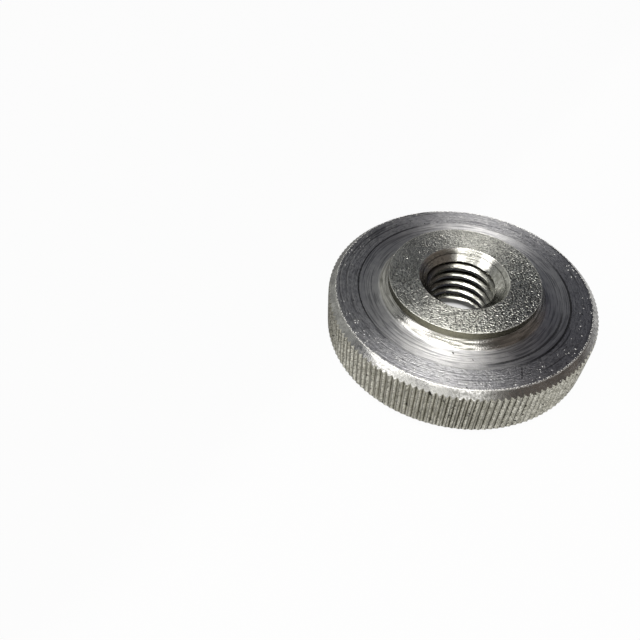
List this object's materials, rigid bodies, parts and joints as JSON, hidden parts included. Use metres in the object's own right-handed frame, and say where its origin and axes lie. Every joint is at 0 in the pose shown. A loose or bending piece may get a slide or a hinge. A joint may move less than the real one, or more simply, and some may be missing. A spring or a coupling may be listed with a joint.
{
  "type": "knurled thumb nut",
  "caption": "Low round thumb nut turned by hand: straight-knurled rim, short plain boss on one face, countersunk threaded hole right through.",
  "frame": {"origin": "centre of the plain underside, on the axis of the thread", "axes": "+Z along the axis of the thread, from the plain face to the boss"},
  "size_m": [0.036, 0.036, 0.01],
  "materials": {
    "steel": "plain turned steel, uncoated, with the lathe's rings left on every face"
  },
  "bodies": {
    "root": {"knurled_nut": "steel"}
  },
  "joints": []
}
